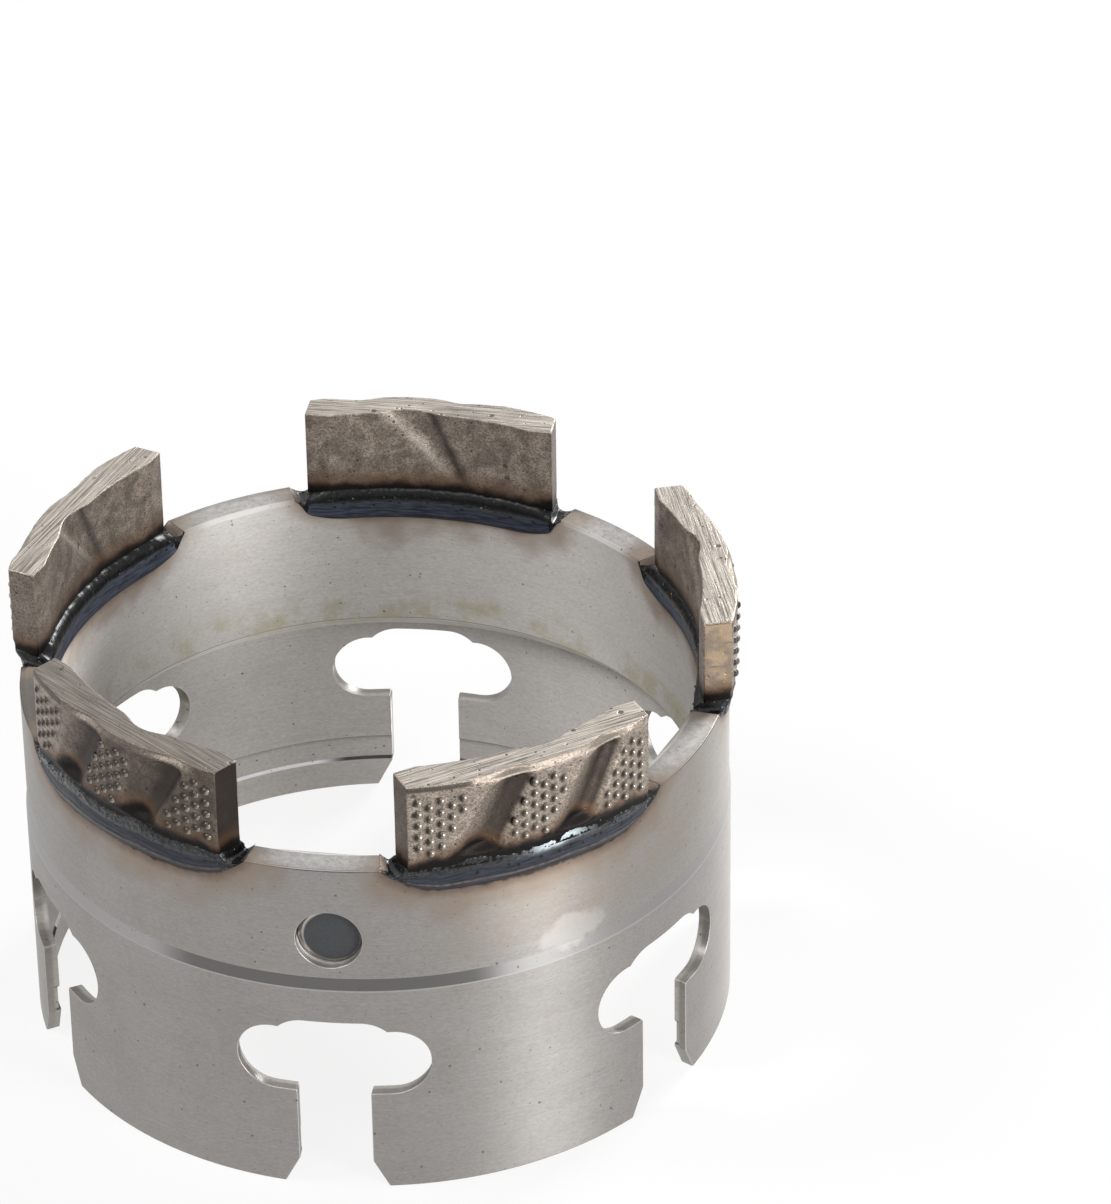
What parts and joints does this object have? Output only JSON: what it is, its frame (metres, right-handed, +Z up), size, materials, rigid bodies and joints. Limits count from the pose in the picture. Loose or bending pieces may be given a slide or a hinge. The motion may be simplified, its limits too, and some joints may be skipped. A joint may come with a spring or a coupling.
{
  "type": "core drill bit crown",
  "caption": "Steel crown ring of a core drill, with sintered diamond segments brazed into its rim and T-shaped bayonet slots in its thin skirt.",
  "frame": {"origin": "centre of the ring's lower end face, on its axis", "axes": "+Z up along the ring's axis, from the skirt to the segments; -Y through the locating pin and the slot below it"},
  "size_m": [0.093, 0.0915, 0.0606],
  "materials": {
    "ring_steel": "satin",
    "pin_black": "satin",
    "diamond_matrix": "matte",
    "seam_oxide": "gloss"
  },
  "bodies": {
    "root": {"crown_ring": "ring_steel", "locating_pin": "pin_black", "segment_1": "diamond_matrix", "segment_2": "diamond_matrix", "segment_3": "diamond_matrix", "segment_4": "diamond_matrix", "segment_5": "diamond_matrix", "braze_seam_1": "seam_oxide", "braze_seam_2": "seam_oxide", "braze_seam_3": "seam_oxide", "braze_seam_4": "seam_oxide", "braze_seam_5": "seam_oxide"}
  },
  "joints": []
}
